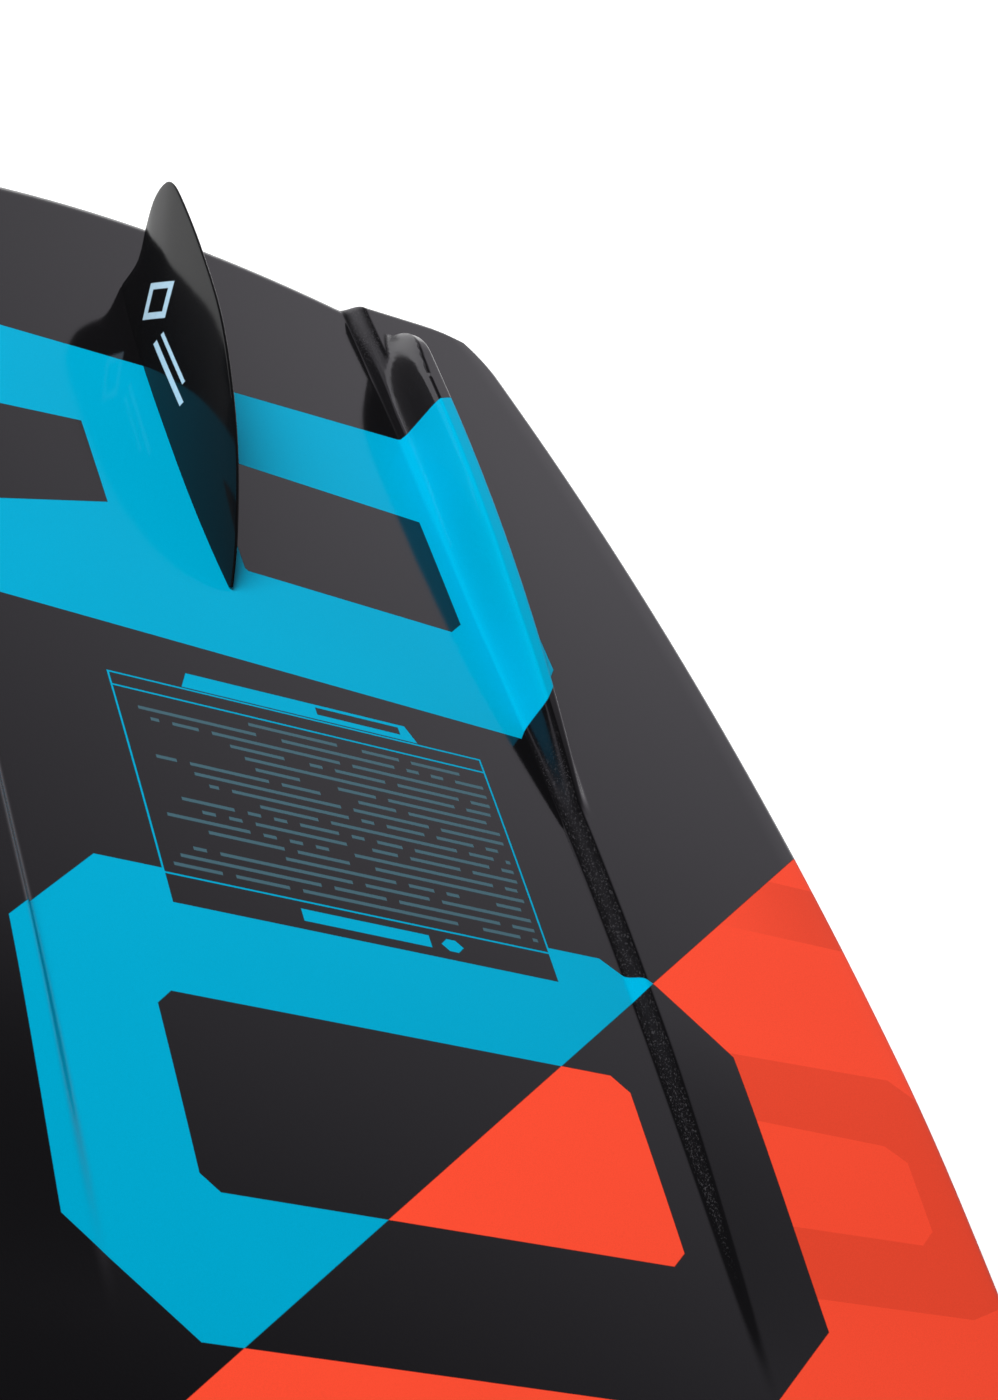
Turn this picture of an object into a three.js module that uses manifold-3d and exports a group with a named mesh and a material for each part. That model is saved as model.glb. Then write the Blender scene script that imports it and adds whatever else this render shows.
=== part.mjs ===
// Twin-tip wakeboard, bare (no bindings), lying base up on its two tips.
// Millimetres. +X runs along the board, +Y across it, +Z out of the base.
// The base crown is modelled at z = 0 and the whole board is lifted onto z = 0 at the end.
import * as THREE from 'three';
import { mergeVertices } from 'three/addons/utils/BufferGeometryUtils.js';
import Module from 'manifold-3d';

const wasm = await Module();
wasm.setup();

// ---- driving dimensions ----
const HALF_LENGTH = 691.5;          // centre of the board to the tip, on the centreline
const MID_HALF_WIDTH = 223.3;       // half width at the waist, the widest place
const TAPER_2 = 53.4;               // how the outline narrows: second power of x / half length
const TAPER_4 = 21.4;               // ... and fourth power
const TIP_BOW = 0.00154;            // bow of the tip edge, per mm
const TIP_EAR = 16.8;               // where the bow stops and the straight ears begin
const CORNER = 24;                  // corner rounding of the outline
const ROCKER = 64.8;                // rise of the tips over the middle
const ROCKER_4 = 0.101;             // share of the fourth power in the rocker curve
const THICK_MID = 17;               // board thickness at the middle
const THICK_LOSS = 7.5;             // thickness lost from the middle to a tip
const PART_SHARE = 0.42;            // height of the rail seam, as a share of the thickness
const BASE_EDGE = 9;                // width of the rounded base edge
const DECK_EDGE = 14;               // width of the rounded deck edge
const SHELL = 1.6;                  // thickness of the two moulded shells
const GAP = 0.3;                    // clearance between pieces that touch
const CORE_INSET = SHELL + 1;       // foam core under the outside surface
const CORE_MARGIN = 0.8;            // extra inset of the core at the rail
const CORE_WALL_SHIFT = 0.7;        // the core's step stands this share of the lean further out

// raised outer panels of the base
const PANEL_HALF = 106;             // foot of the step, mid-board, from the centreline
const PANEL_HALF_TIP = 99.7;        // foot of the step near the tips
const PANEL_TAPER = [350, 590];     // the foot line moves in between these two x
const STEP_FADE = [190, 330];       // the step grows between these two x
const STEP = 4.6;                   // step height where it is fully grown
const STEP_TIP_GAIN = 2.4;          // extra step height at the tip
const WALL_LEAN = 3.2;              // how far the step wall leans out

// moulded side fins, on the edge of the raised panels
const FIN_REAR = 655;
const FIN_FRONT = 414;
const FIN_RIDGE = 21;               // ridge height over the central panel
const FIN_RIDGE_IN = 104.2;         // ridge, inner edge, from the centreline
const FIN_RIDGE_OUT = 111.2;
const FIN_FOOT_OUT = 116;
const FIN_FLANK = 0.4;              // least width of the inner flank above the step wall
const FIN_FULL = [610, 630];        // stretch where the ridge has its full height
const FIN_NOSE_POWER = 2;           // how the ridge curves up from the front
const FIN_END_POWER = 2.4;          // ... and down at the rear
const ROW_SLACK = 0.1;              // a grid row this near the ridge is on it

// screw-on centre fins: outline in x and height over the base, from nose to foot
const KEEL_OUTLINE = [[486.5, 0.9], [500, 10], [527, 23.3], [556, 33.2], [586, 40], [618, 42.4],
  [645, 42.6], [657.5, 41.3], [661.3, 37], [660.3, 30], [654.5, 22.2], [648, 15.5], [645, 10], [644.7, 0.9]];
const KEEL_ROOT = [487, 644.4];
const KEEL_HALF_THICK = 4.4;
const KEEL_EDGE_HALF = 0.5;
const KEEL_FOIL_POWER = 2.5;        // fullness of the fin's section, end to end
const KEEL_TAPER_POWER = 1.6;       // ... and from the root to the crest
const KEEL_BOLTS = [540, 590];      // bolt positions
const BOLT_R = 2;
const BOLT_IN_KEEL = 6.4;           // how deep the bolt goes into the fin
const WASHER = { outer: 5.2, thick: 1 };
const SLEEVE_R = 4.2;
const NUT_R = 2.8;
const CLEARANCE = 0.35;             // round a bolt, all the way along

// binding inserts, a 6 inch pattern, seen from the deck
const STANCE_X = 298;
const INSERT_Y = 76.2;
const INSERT_PITCH = 25.4;
const INSERTS_PER_ROW = 6;
const INSERT_R = 5;
const INSERT_NECK_R = 4;
const INSERT_BORE_R = 2.5;
const INSERT_TOP = -0.2;            // mouth, below the deck surface
const INSERT_SHOULDER = -2.2;
const INSERT_BOTTOM = -10.2;
const INSERT_FLOOR = 1.2;
const BLOCK = { long: 148, wide: 22, top: -2.5, bottom: -10.8 };
const ROUND = 8;                    // segments on small round parts

// bolt heads, and how far a cutting tool runs into and out of a surface
const SCREW_HEAD = { radius: 4, skirt: 1.6, crownR: 3.1, crown: 2.4, socketR: 1.5, socketFloor: 0.8 };
const CUT_IN = 5;
const CUT_OUT = 3;
const CUT_THROUGH = 30;

// ---- the board's surfaces ----
const smooth = (t) => { const c = Math.min(Math.max(t, 0), 1); return c * c * (3 - 2 * c); };
const ramp = (v, [from, to]) => (v - from) / (to - from);

function drop(x) {
  const t = x / HALF_LENGTH;
  return ROCKER * ((1 + ROCKER_4) * t ** 2 - ROCKER_4 * t ** 4);
}
const slopeAngle = (x) => Math.atan((drop(x + 1) - drop(x - 1)) / 2);
const thickness = (x) => THICK_MID - THICK_LOSS * (x / HALF_LENGTH) ** 2;
const halfWidth = (x) => MID_HALF_WIDTH - TAPER_2 * (x / HALF_LENGTH) ** 2 - TAPER_4 * (x / HALF_LENGTH) ** 4;
const tipReach = (y) => HALF_LENGTH - Math.min(TIP_BOW * y * y, TIP_EAR);
const panelFoot = (x) => PANEL_HALF + (PANEL_HALF_TIP - PANEL_HALF) * smooth(ramp(Math.abs(x), PANEL_TAPER));
const ridgeIn = (x) => Math.max(FIN_RIDGE_IN, panelFoot(x) + WALL_LEAN + FIN_FLANK);
const seamHeight = (x) => -drop(x) - PART_SHARE * thickness(x);
const deckHeight = (x) => -drop(x) - thickness(x);

function stepHeight(x) {
  const a = Math.abs(x);
  const tipGain = STEP_TIP_GAIN * Math.max(0, ramp(a, [STEP_FADE[1], HALF_LENGTH]));
  return STEP * smooth(ramp(a, STEP_FADE)) + tipGain;
}

function finRidge(x) {
  const a = Math.abs(x);
  if (a <= FIN_FRONT || a >= FIN_REAR) return 0;
  const nose = 1 - Math.max(0, ramp(a, [FIN_FULL[0], FIN_FRONT])) ** FIN_NOSE_POWER;
  const rear = 1 - Math.max(0, ramp(a, [FIN_FULL[1], FIN_REAR])) ** FIN_END_POWER;
  const step = stepHeight(x);
  return step + (FIN_RIDGE - step) * Math.min(nose, rear);
}

// height of the base over the rocker line, at a distance outside the foot of the step
function panelHeight(x, fromFoot, withFin) {
  const step = stepHeight(x);
  const wall = step * smooth(fromFoot / WALL_LEAN);
  const y = panelFoot(x) + fromFoot;
  const onRidge = y >= ridgeIn(x) - ROW_SLACK && y <= FIN_RIDGE_OUT + ROW_SLACK;
  return withFin && onRidge ? Math.max(wall, finRidge(x)) : wall;
}

// ---- a grid laid over the outline, finer at the rails, tips and fins ----
const STRAIGHT = 600;               // grid columns are straight across up to here

// rows are functions of x giving y, columns are stations along the centreline, and both
// end in insets from the rail; one quarter is worked out and mirrored to the other three
function layGrid({ stations, rowLines, edge, insets, offset }) {
  const rims = insets.map((inset) => ({ inset }));
  const columns = [...stations.map((station) => ({ station })), ...rims];
  const rows = [...rowLines.map((line) => ({ line })), ...rims];
  const quarter = columns.map((column) => rows.map((row) => place(column, row, edge, offset)));
  const steps = (count) => Array.from({ length: 2 * count - 1 }, (_, i) => i - count + 1);
  return steps(columns.length).map((i) => steps(rows.length).map((j) => {
    const point = quarter[Math.abs(i)][Math.abs(j)];
    return { ...point, x: point.x * Math.sign(i), y: point.y * Math.sign(j) };
  }));
}

function place(column, row, edge, offset) {
  let x = column.station ?? HALF_LENGTH;
  let y = 0;
  for (let pass = 0; pass < 6; pass += 1) {
    y = row.inset === undefined ? row.line(x) : halfWidth(x) - row.inset - offset;
    const reach = tipReach(y);
    if (column.inset !== undefined) x = reach - column.inset - offset;
    else if (column.station > STRAIGHT) {
      const share = (reach - edge - offset - STRAIGHT) / (HALF_LENGTH - edge - offset - STRAIGHT);
      x = STRAIGHT + (column.station - STRAIGHT) * share;
    } else x = column.station;
  }
  const fromTip = tipReach(y) - x;
  const fromSide = halfWidth(x) - y;
  const inset = Math.min(column.inset ?? edge, row.inset ?? edge);
  const fromFoot = y - panelFoot(x);
  if (fromTip >= CORNER || fromSide >= CORNER) return { x, y, inset, fromFoot };
  const p = 1 - fromTip / CORNER;
  const q = 1 - fromSide / CORNER;
  const roundedTip = CORNER * (1 - p * Math.sqrt(1 - q * q / 2));
  const roundedSide = CORNER * (1 - q * Math.sqrt(1 - p * p / 2));
  return { x: x + fromTip - roundedTip, y: y + fromSide - roundedSide, inset, fromFoot };
}

const roundOver = (inset, edge) => 1 - Math.sqrt(1 - ((edge - inset) / edge) ** 2);

function baseHeight(point, withFin) {
  const top = panelHeight(point.x, point.fromFoot, withFin) - drop(point.x);
  const depth = top - seamHeight(point.x);
  return top - depth * roundOver(point.inset, BASE_EDGE);
}
function deckOutside(point) {
  const bottom = deckHeight(point.x);
  const rise = seamHeight(point.x) - bottom;
  return bottom + rise * roundOver(point.inset, DECK_EDGE);
}

// closed solid between two grids of the same size, the first one above the second
function solidBetween(upper, lower) {
  const nc = upper.length;
  const nr = upper[0].length;
  const positions = [];
  for (const grid of [upper, lower]) for (const column of grid) for (const p of column) positions.push(...p);
  const at = (layer, i, j) => layer * nc * nr + i * nr + j;
  const index = [];
  const quad = (a, b, c, d) => index.push(a, b, c, a, c, d);
  for (let i = 0; i + 1 < nc; i += 1) {
    for (let j = 0; j + 1 < nr; j += 1) {
      quad(at(0, i, j), at(0, i + 1, j), at(0, i + 1, j + 1), at(0, i, j + 1));
      quad(at(1, i, j), at(1, i, j + 1), at(1, i + 1, j + 1), at(1, i + 1, j));
    }
  }
  for (let i = 0; i + 1 < nc; i += 1) {
    quad(at(1, i, 0), at(1, i + 1, 0), at(0, i + 1, 0), at(0, i, 0));
    quad(at(0, i, nr - 1), at(0, i + 1, nr - 1), at(1, i + 1, nr - 1), at(1, i, nr - 1));
  }
  for (let j = 0; j + 1 < nr; j += 1) {
    quad(at(0, 0, j), at(0, 0, j + 1), at(1, 0, j + 1), at(1, 0, j));
    quad(at(1, nc - 1, j), at(1, nc - 1, j + 1), at(0, nc - 1, j + 1), at(0, nc - 1, j));
  }
  const geometry = new THREE.BufferGeometry();
  geometry.setAttribute('position', new THREE.Float32BufferAttribute(positions, 3));
  geometry.setIndex(index);
  return geometry;
}

// ---- joining and cutting ----
function toSolid(geometry, matrix = new THREE.Matrix4()) {
  const bare = geometry.clone().applyMatrix4(matrix);
  bare.deleteAttribute('normal');
  bare.deleteAttribute('uv');
  const merged = mergeVertices(bare, 1e-4);
  return new wasm.Manifold(new wasm.Mesh({
    numProp: 3,
    vertProperties: new Float32Array(merged.attributes.position.array),
    triVerts: new Uint32Array(merged.index.array),
  }));
}
function fromSolid(solid) {
  const mesh = solid.getMesh();
  const geometry = new THREE.BufferGeometry();
  geometry.setAttribute('position', new THREE.Float32BufferAttribute(mesh.vertProperties, 3));
  geometry.setIndex([...mesh.triVerts]);
  return geometry;
}
function cut(geometry, tools) {
  let solid = toSolid(geometry);
  for (const tool of tools) solid = solid.subtract(toSolid(tool.geometry, tool.matrix));
  return fromSolid(solid);
}

// frame at a place on the deck: local +Z points out of the deck, along the local normal
function deckFrame(x, y) {
  const tilt = new THREE.Matrix4().makeRotationY(slopeAngle(x) + Math.PI);
  return new THREE.Matrix4().makeTranslation(x, y, deckHeight(x)).multiply(tilt);
}
function turned(profile, segments = ROUND) {
  const points = profile.map(([r, z]) => new THREE.Vector2(r, z));
  return new THREE.LatheGeometry(points, segments).rotateX(Math.PI / 2);
}
function rod(radius, from, to, segments = ROUND) {
  return turned([[0, from], [radius, from], [radius, to], [0, to]], segments);
}
function tube(inner, outer, from, to) {
  return turned([[inner, from], [outer, from], [outer, to], [inner, to], [inner, from]]);
}

// ---- where the fastenings go ----
const ENDS = [{ end: 1, endName: 'nose' }, { end: -1, endName: 'tail' }];
const SIDES = [{ side: 1, sideName: 'left' }, { side: -1, sideName: 'right' }];
const blocks = ENDS.flatMap(({ end, endName }) => SIDES.map(({ side, sideName }) => {
  const x = end * STANCE_X;
  const inserts = Array.from({ length: INSERTS_PER_ROW }, (_, i) => {
    const at = x + end * (i - (INSERTS_PER_ROW - 1) / 2) * INSERT_PITCH;
    return { number: i + 1, frame: deckFrame(at, side * INSERT_Y) };
  });
  return { name: `${endName}_${sideName}`, frame: deckFrame(x, side * INSERT_Y), inserts };
}));
const keelBolts = ENDS.flatMap(({ end, endName }) => KEEL_BOLTS.map((at, i) => (
  { name: `${endName}_${i + 1}`, end, x: end * at, frame: deckFrame(end * at, 0) })));

// ---- shells and core ----
const RIM_ROW = 26;                 // last row before the rounded edge, from the rail
const finStation = (x) => STRAIGHT + (x - STRAIGHT)
  * (HALF_LENGTH - BASE_EDGE - STRAIGHT) / (HALF_LENGTH - TIP_EAR - BASE_EDGE - STRAIGHT);

const BASE_PLAN = {
  stations: [0, 75, 140, 190, 225, 260, 295, 330, 370, FIN_FRONT, 440, 475, 515, 560, 600]
    .concat([FIN_FULL[1], 642, 650, FIN_REAR].map(finStation)),
  rowLines: [
    () => 0, () => 50, panelFoot, (x) => panelFoot(x) + WALL_LEAN,
    ridgeIn, () => FIN_RIDGE_OUT, () => FIN_FOOT_OUT, (x) => halfWidth(x) - RIM_ROW,
  ],
  edge: BASE_EDGE,
  insets: [9, 5, 2, 0],
};
const DECK_PLAN = {
  stations: [0, 60, 120, 178, 223, 268, 328, 373, 430, 490, 550, 600, 645],
  rowLines: [() => 0, () => 45, panelFoot, (x) => panelFoot(x) + WALL_LEAN, (x) => halfWidth(x) - RIM_ROW],
  edge: DECK_EDGE,
  insets: [14, 8, 3, 0],
};
const surface = (grid, height) => grid.map((column) => column.map((p) => [p.x, p.y, height(p)]));

function baseShell() {
  const outside = surface(layGrid({ ...BASE_PLAN, offset: 0 }), (p) => baseHeight(p, true));
  const inside = surface(layGrid({ ...BASE_PLAN, offset: SHELL }), (p) => (
    p.inset === 0 ? seamHeight(p.x) : baseHeight(p, false) - SHELL));
  const boltHoles = keelBolts.map(({ x, frame }) => ({
    geometry: rod(BOLT_R + CLEARANCE, -thickness(x) - CUT_OUT, -thickness(x) + CUT_IN),
    matrix: frame,
  }));
  return cut(solidBetween(outside, inside), boltHoles);
}

function deckShell() {
  const outside = surface(layGrid({ ...DECK_PLAN, offset: 0 }), (p) => (
    deckOutside(p) - (p.inset === 0 ? GAP : 0)));
  const inside = surface(layGrid({ ...DECK_PLAN, offset: SHELL }), (p) => (
    p.inset === 0 ? seamHeight(p.x) - GAP : deckOutside(p) + SHELL));
  const insertHoles = blocks.flatMap(({ inserts }) => inserts.map(({ frame }) => ({
    geometry: rod(INSERT_NECK_R + GAP, -CUT_IN, CUT_OUT),
    matrix: frame,
  })));
  const boltHoles = keelBolts.map(({ frame }) => ({
    geometry: rod(BOLT_R + CLEARANCE, -CUT_IN, CUT_OUT),
    matrix: frame,
  }));
  return cut(solidBetween(inside, outside), [...insertHoles, ...boltHoles]);
}

function foamCore() {
  const underBase = (p) => (
    { ...p, inset: p.inset * BASE_EDGE / DECK_EDGE, fromFoot: p.fromFoot - CORE_WALL_SHIFT * WALL_LEAN });
  const grid = layGrid({ ...DECK_PLAN, offset: CORE_INSET + CORE_MARGIN });
  const seamSlack = 0.4;
  const upper = surface(grid, (p) => (p.inset === 0 ? seamHeight(p.x) + seamSlack
    : baseHeight(underBase(p), false) - CORE_INSET));
  const lower = surface(grid, (p) => (p.inset === 0 ? seamHeight(p.x) - seamSlack
    : deckOutside(p) + CORE_INSET));
  const pockets = blocks.map(({ frame }) => ({
    geometry: blockBody(2 * GAP, CUT_IN, -GAP),
    matrix: frame,
  }));
  const sleeveHoles = keelBolts.map(({ frame }) => ({
    geometry: rod(SLEEVE_R + GAP, -CUT_THROUGH, CUT_IN),
    matrix: frame,
  }));
  return cut(solidBetween(upper, lower), [...pockets, ...sleeveHoles]);
}

// ---- binding inserts and the blocks that hold them ----
function blockBody(extra, above, below) {
  const top = BLOCK.top + above;
  const bottom = BLOCK.bottom + below;
  return new THREE.BoxGeometry(BLOCK.long + extra, BLOCK.wide + extra, top - bottom)
    .translate(0, 0, (top + bottom) / 2);
}

function insertBlock({ frame, inserts }) {
  const toBlock = frame.clone().invert();
  const holes = inserts.map((insert) => ({
    geometry: rod(INSERT_R + GAP, -CUT_THROUGH, CUT_OUT),
    matrix: toBlock.clone().multiply(insert.frame),
  }));
  return cut(blockBody(0, 0, 0), holes);
}

function threadedInsert() {
  return turned([[0, INSERT_BOTTOM], [INSERT_R, INSERT_BOTTOM], [INSERT_R, INSERT_SHOULDER],
    [INSERT_NECK_R, INSERT_SHOULDER], [INSERT_NECK_R, INSERT_TOP], [INSERT_BORE_R, INSERT_TOP],
    [INSERT_BORE_R, INSERT_BOTTOM + INSERT_FLOOR], [0, INSERT_BOTTOM + INSERT_FLOOR]]);
}

// ---- centre fins and their bolts ----
function centreFin(end) {
  const crest = new THREE.SplineCurve(KEEL_OUTLINE.map(([x, h]) => new THREE.Vector2(x, h)));
  const columns = 26;
  const rises = [0, 0.35, 0.7, 1];
  const side = (sign) => Array.from({ length: columns + 1 }, (_, i) => {
    const a = i / columns;
    const top = crest.getPoint(a);
    const rootX = THREE.MathUtils.lerp(KEEL_ROOT[0], KEEL_ROOT[1], a);
    const foil = 1 - Math.abs(2 * a - 1) ** KEEL_FOIL_POWER;
    return rises.map((rise) => {
      const x = THREE.MathUtils.lerp(rootX, top.x, rise);
      const height = top.y * rise;
      const half = KEEL_EDGE_HALF + (KEEL_HALF_THICK - KEEL_EDGE_HALF) * foil * (1 - rise ** KEEL_TAPER_POWER);
      return [x, sign * half, height + GAP - drop(x)];
    });
  });
  const blade = solidBetween(side(-1), side(1));
  const pockets = keelBolts.filter((bolt) => bolt.end > 0).map(({ x, frame }) => ({
    geometry: rod(NUT_R + GAP, -thickness(x) - BOLT_IN_KEEL - 2 * GAP, -thickness(x) + CUT_IN),
    matrix: frame,
  }));
  const turn = end > 0 ? 0 : Math.PI;
  return cut(blade, pockets).rotateZ(turn);
}

const baseSide = (x) => -thickness(x);      // where the base lies in a bolt's own frame
function keelScrew({ x }) {
  const head = WASHER.thick + 2 * GAP;
  const { radius, skirt, crownR, crown, socketR, socketFloor } = SCREW_HEAD;
  return turned([[0, baseSide(x) - BOLT_IN_KEEL], [BOLT_R, baseSide(x) - BOLT_IN_KEEL], [BOLT_R, head],
    [radius, head], [radius, head + skirt], [crownR, head + crown], [socketR, head + crown],
    [socketR, head + socketFloor], [0, head + socketFloor]]);
}
const keelWasher = () => tube(BOLT_R + CLEARANCE, WASHER.outer, GAP, GAP + WASHER.thick);
const keelSleeve = ({ x }) => (
  tube(BOLT_R + CLEARANCE, SLEEVE_R, baseSide(x) + SHELL + 2 * GAP, -SHELL - 2 * GAP));
const keelNut = ({ x }) => (
  tube(BOLT_R + CLEARANCE, NUT_R, baseSide(x) - BOLT_IN_KEEL, baseSide(x) - 2 * GAP));

// ---- assembly ----
function material(color, roughness, metalness = 0) {
  return new THREE.MeshStandardMaterial({ color, roughness, metalness });
}
const LOOKS = {
  base: material(0x2b2a2c, 0.35),
  deck: material(0x303033, 0.45),
  foam: material(0xe8dfc4, 0.9),
  block: material(0xb9a77a, 0.8),
  fin: material(0x0c0c0d, 0.2),
  steel: material(0xb8babd, 0.3, 1),
  brass: material(0xb08a45, 0.35, 1),
  sleeve: material(0x3a3d42, 0.5),
};

const board = new THREE.Group();
function add(name, geometry, look, frame) {
  const mesh = new THREE.Mesh(geometry, look);
  mesh.name = name;
  if (frame) mesh.applyMatrix4(frame);
  board.add(mesh);
  return mesh;
}

add('base_shell', baseShell(), LOOKS.base);
const deck = add('deck_shell', deckShell(), LOOKS.deck);
add('foam_core', foamCore(), LOOKS.foam);
for (const block of blocks) {
  add(`insert_block_${block.name}`, insertBlock(block), LOOKS.block, block.frame);
  for (const insert of block.inserts) {
    add(`binding_insert_${block.name}_${insert.number}`, threadedInsert(), LOOKS.steel, insert.frame);
  }
}
for (const { end, endName } of ENDS) add(`centre_fin_${endName}`, centreFin(end), LOOKS.fin);
for (const bolt of keelBolts) {
  add(`fin_screw_${bolt.name}`, keelScrew(bolt), LOOKS.steel, bolt.frame);
  add(`fin_washer_${bolt.name}`, keelWasher(), LOOKS.steel, bolt.frame);
  add(`fin_sleeve_${bolt.name}`, keelSleeve(bolt), LOOKS.sleeve, bolt.frame);
  add(`fin_nut_${bolt.name}`, keelNut(bolt), LOOKS.brass, bolt.frame);
}

// the deck side of the tips is what the board lies on
deck.geometry.computeBoundingBox();
board.position.z = -deck.geometry.boundingBox.min.z;

export default board;
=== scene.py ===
"""Twin-tip wakeboard, base up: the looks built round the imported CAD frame.

Sizes below are millimetres with the base crown at height 0; LIFT lifts them onto the floor.
+X runs along the board (nose), +Y is the left rail, +Z points out of the base.
"""

import math

import bpy
import numpy as np
from mathutils import Matrix, Vector


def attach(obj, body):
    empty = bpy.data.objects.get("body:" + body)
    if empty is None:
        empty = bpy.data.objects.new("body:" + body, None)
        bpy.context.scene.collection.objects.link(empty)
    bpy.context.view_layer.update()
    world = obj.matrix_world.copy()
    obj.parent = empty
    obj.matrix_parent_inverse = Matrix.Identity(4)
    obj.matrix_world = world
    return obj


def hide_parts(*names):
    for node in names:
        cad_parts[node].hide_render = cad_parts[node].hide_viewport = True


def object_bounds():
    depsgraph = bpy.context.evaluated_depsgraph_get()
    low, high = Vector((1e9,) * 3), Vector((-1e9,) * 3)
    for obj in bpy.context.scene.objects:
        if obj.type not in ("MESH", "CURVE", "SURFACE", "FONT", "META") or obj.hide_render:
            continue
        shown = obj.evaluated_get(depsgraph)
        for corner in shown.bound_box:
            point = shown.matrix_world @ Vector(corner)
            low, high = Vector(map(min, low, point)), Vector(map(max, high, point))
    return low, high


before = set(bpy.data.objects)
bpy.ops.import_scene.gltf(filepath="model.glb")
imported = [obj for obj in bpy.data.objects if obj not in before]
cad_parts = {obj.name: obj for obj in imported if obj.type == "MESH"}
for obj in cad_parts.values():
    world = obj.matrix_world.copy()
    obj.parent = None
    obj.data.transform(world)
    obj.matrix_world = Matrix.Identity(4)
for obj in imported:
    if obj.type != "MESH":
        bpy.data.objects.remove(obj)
CAD_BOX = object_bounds()
MM = 0.001
LIFT = CAD_BOX[1].z / MM            # the base crown is the highest point of the board
bpy.ops.object.select_all(action="DESELECT")

# ---- the board's surfaces ----
HALF_LENGTH = 691.5
MID_HALF_WIDTH = 223.3
TAPER_2 = 53.4
TAPER_4 = 21.4
TIP_BOW = 0.00154
TIP_EAR = 16.8
CORNER = 24
ROCKER = 64.8
ROCKER_4 = 0.101
THICK_MID = 17
THICK_LOSS = 7.5
PART_SHARE = 0.42                   # height of the rail seam, as a share of the thickness
BASE_EDGE = 6.5
DECK_EDGE = 14
SHELL = 1.6
GAP = 0.3
STRAIGHT = 600                      # grid columns are straight across up to here

PANEL_HALF = 106
PANEL_HALF_TIP = 99.7
PANEL_TAPER = (350, 590)
STEP_FADE = (190, 330)
STEP = 4.6
STEP_TIP_GAIN = 2.4
WALL_LEAN = 3.2

FIN_REAR = 655
FIN_FRONT = 414
FIN_RIDGE = 21
FIN_RIDGE_IN = 104.2                # ridge, inner edge, from the centreline
FIN_RIDGE_OUT = 111.2
FIN_FLANK_IN = 2.5                  # least width of the inner flank
FIN_FLANK_OUT = 4.6                 # how far the outer flank leans out, at full height
FIN_FULL = (610, 630)
FIN_NOSE_POWER = 2
FIN_END_POWER = 2.4
FILLET_OUT = 3.0                    # top of the fillet at the foot of a fin, outwards and up
FILLET_UP = 2.6
FLANK_BRINK = 3.9                   # where a fin's flank passes the height of the step
FLANK_FRONT = (450, 540)            # the step wall turns into the flank between these
FLANK_REAR = (668, 628)
FIN_TURN_IN = 5                     # how far the rear end of a fin is rounded, seen from above
SOFTEN = 1.0                        # half width over which moulded edges are rounded
SOFTEN_STEPS = 9

KEEL_OUTLINE = (
    (486.5, 0.9), (500, 10), (527, 23.3), (556, 33.2), (586, 40), (618, 42.4), (645, 42.6),
    (657.5, 41.3), (661.3, 37), (660.3, 30), (654.5, 22.2), (648, 15.5), (645, 10), (644.7, 0.9),
)
KEEL_ROOT = (487, 644.4)
KEEL_HALF_THICK = 4.4
KEEL_EDGE_HALF = 0.5
KEEL_FOIL_POWER = 2.5
KEEL_TAPER_POWER = 1.6
KEEL_BOLTS = (540, 590)
BOLT_R = 2
CLEARANCE = 0.35
BOLT_IN_KEEL = 6.4

STANCE_X = 298
INSERT_Y = 76.2
INSERT_PITCH = 25.4
INSERTS_PER_ROW = 6
INSERT_R = 5
INSERT_NECK_R = 4
INSERT_BORE_R = 2.5
INSERT_TOP = -0.2
INSERT_SHOULDER = -2.2
INSERT_BOTTOM = -10.2


def smooth(t):
    c = min(max(t, 0), 1)
    return c * c * (3 - 2 * c)


def ramp(v, span):
    return (v - span[0]) / (span[1] - span[0])


def drop(x):
    t = x / HALF_LENGTH
    return ROCKER * ((1 + ROCKER_4) * t**2 - ROCKER_4 * t**4)


def slope_angle(x):
    return math.atan((drop(x + 1) - drop(x - 1)) / 2)


def thickness(x):
    return THICK_MID - THICK_LOSS * (x / HALF_LENGTH) ** 2


def half_width(x):
    t = x / HALF_LENGTH
    return MID_HALF_WIDTH - TAPER_2 * t**2 - TAPER_4 * t**4


def tip_reach(y):
    return HALF_LENGTH - min(TIP_BOW * y * y, TIP_EAR)


def panel_foot(x):
    return PANEL_HALF + (PANEL_HALF_TIP - PANEL_HALF) * smooth(ramp(abs(x), PANEL_TAPER))


def seam_height(x):
    return -drop(x) - PART_SHARE * thickness(x)


def deck_height(x):
    return -drop(x) - thickness(x)


def step_height(x):
    gain = STEP_TIP_GAIN * max(0, ramp(abs(x), (STEP_FADE[1], HALF_LENGTH)))
    return STEP * smooth(ramp(abs(x), STEP_FADE)) + gain


def fin_ridge(x):
    """Height of the side fin's ridge over the central panel; 0 where there is no fin."""
    a = abs(x)
    if a <= FIN_FRONT or a >= FIN_REAR:
        return 0
    nose = 1 - max(0, ramp(a, (FIN_FULL[0], FIN_FRONT))) ** FIN_NOSE_POWER
    rear = 1 - max(0, ramp(a, (FIN_FULL[1], FIN_REAR))) ** FIN_END_POWER
    step = step_height(x)
    return step + (FIN_RIDGE - step) * min(nose, rear)


def between(first, second, share):
    return first + (second - first) * share


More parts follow.
